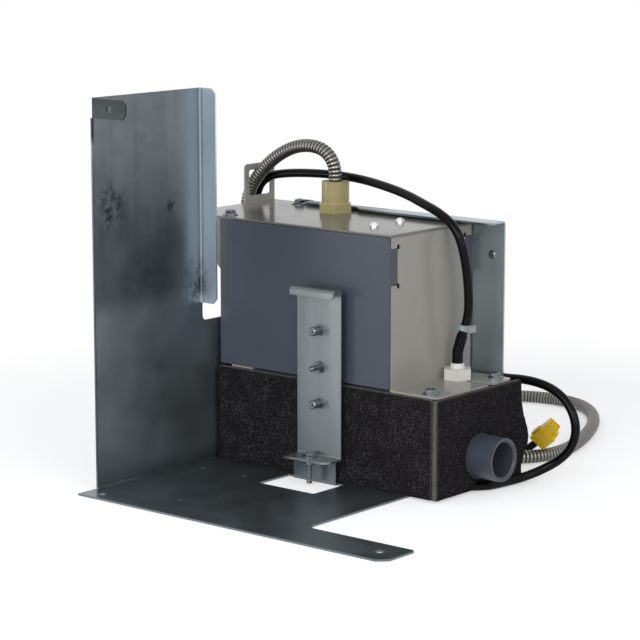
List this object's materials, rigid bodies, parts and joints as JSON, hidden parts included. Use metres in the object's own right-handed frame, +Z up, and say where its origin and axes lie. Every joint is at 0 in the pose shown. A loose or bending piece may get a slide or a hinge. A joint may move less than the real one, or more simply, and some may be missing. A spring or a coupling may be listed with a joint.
{
  "type": "condensate pump",
  "caption": "Condensate pump on a folded sheet base: foam wrapped tank with pipe stub, boxed motor housing, clamp strap, steel conduit with plug and black cord.",
  "frame": {"origin": "middle of the bounding box of the part without its cords, at the underside of the base", "axes": "+Z up; +X along the front of the base, the way the inlet stub points; +Y from the front edge of the base to the housing"},
  "size_m": [0.3483, 0.5027, 0.298],
  "materials": {
    "galvanised": "galvanised sheet, satin",
    "strap_zinc": "bright zinc plated sheet",
    "screw_zinc": "zinc plated",
    "foam": "open cell foam, matt black with light specks",
    "tank_plastic": "moulded",
    "gasket_rubber": "matt",
    "beige_paint": "glossy warm grey paint",
    "grey_paint": "dark blue grey gloss",
    "conduit_steel": "interlocked bright steel strip",
    "cord_rubber": "black cord jacket",
    "lead_rubber": "black lead jacket",
    "tie_nylon": "grey nylon",
    "tan_nylon": "translucent tan nylon",
    "white_nylon": "white nylon",
    "grey_pvc": "grey pipe, satin",
    "yellow_plastic": "moulded yellow",
    "contact_brass": "plated contacts",
    "motor_steel": "stacked sheets",
    "copper_wire": "varnished winding",
    "bracket_zinc": "die cast",
    "bush_bronze": "sintered bronze",
    "shaft_steel": "ground",
    "rotor_alloy": "cast cage",
    "pump_plastic": "moulded",
    "wheel_plastic": "moulded",
    "float_plastic": "sealed foam plastic",
    "valve_plastic": "moulded",
    "poppet_rubber": "faced disc",
    "switch_plastic": "moulded",
    "button_red": "moulded"
  },
  "bodies": {
    "base": {"mounting_base": "galvanised", "clamp_strap": "strap_zinc", "hook_plate": "strap_zinc", "strap_rivets": "screw_zinc", "strap_screw": "screw_zinc", "strap_nut": "screw_zinc", "clamp_screw": "screw_zinc", "clinch_nut": "screw_zinc", "foam_front": "foam", "foam_right": "foam", "foam_lining": "foam", "tank": "tank_plastic", "inlet_stub": "grey_pvc", "deck_gasket": "gasket_rubber", "deck_plate": "grey_paint", "chassis": "beige_paint", "left_wall": "beige_paint", "front_cover": "grey_paint", "rear_cover": "grey_paint", "back_bracket": "galvanised", "back_rivets": "screw_zinc", "flange_screws": "screw_zinc", "motor_hanger_screws": "shaft_steel", "conduit_adapter": "tan_nylon", "gland_body": "white_nylon", "locknuts": "white_nylon", "cord_sleeve": "cord_rubber", "cable_tie": "tie_nylon", "conduit": "conduit_steel", "black_cord": "cord_rubber", "conduit_bushing": "pump_plastic", "plug_lead": "lead_rubber", "plug_shell": "yellow_plastic", "plug_pins": "contact_brass", "stator": "motor_steel", "windings": "copper_wire", "bearing_brackets": "bracket_zinc", "bushes": "bush_bronze", "tie_bolts": "screw_zinc", "motor_posts": "bracket_zinc", "motor_hanger": "galvanised", "pump_housing": "pump_plastic", "strainer": "pump_plastic", "discharge_riser": "grey_pvc", "check_valve": "valve_plastic", "discharge_elbow": "grey_pvc", "float_bracket": "galvanised", "pivot_pin": "shaft_steel", "switch_body": "switch_plastic", "switch_bracket": "galvanised"},
    "rotor": {"motor_rotor": "rotor_alloy", "motor_shaft": "shaft_steel", "cooling_fan": "wheel_plastic", "impeller": "wheel_plastic"},
    "poppet": {"valve_poppet": "poppet_rubber"},
    "float": {"float_arm": "pump_plastic", "float_body": "float_plastic"},
    "rod": {"switch_rod": "shaft_steel"},
    "lever": {"switch_lever": "strap_zinc"},
    "button": {"switch_button": "button_red"}
  },
  "joints": [
    {"name": "motor_spin", "type": "hinge", "parent": "base", "child": "rotor", "pos_m": [-0.0275, 0.0715, 0.117], "axis": [0, 0, 1], "continuous": true},
    {"name": "float_lift", "type": "hinge", "parent": "base", "child": "float", "pos_m": [0.0065, 0.0455, 0.0637], "axis": [0, -1, 0], "range_deg": [0, 18]},
    {"name": "rod_lift", "type": "slide", "parent": "base", "child": "rod", "axis": [0, 0, 1], "range_m": [0, 0.0028]},
    {"name": "lever_tip", "type": "hinge", "parent": "base", "child": "lever", "pos_m": [0.0335, 0.0455, 0.0947], "axis": [0, 1, 0], "range_deg": [0, 8]},
    {"name": "button_press", "type": "slide", "parent": "base", "child": "button", "axis": [0, 0, 1], "range_m": [0, 0.0012]},
    {"name": "valve_poppet_lift", "type": "slide", "parent": "base", "child": "poppet", "axis": [0, 0, 1], "range_m": [0, 0.003]}
  ],
  "couplings": [
    {"joint": "rod_lift", "follows": "float_lift", "m_per_rad": 0.0088},
    {"joint": "lever_tip", "follows": "float_lift", "ratio": 0.44},
    {"joint": "button_press", "follows": "float_lift", "m_per_rad": 0.0038}
  ]
}
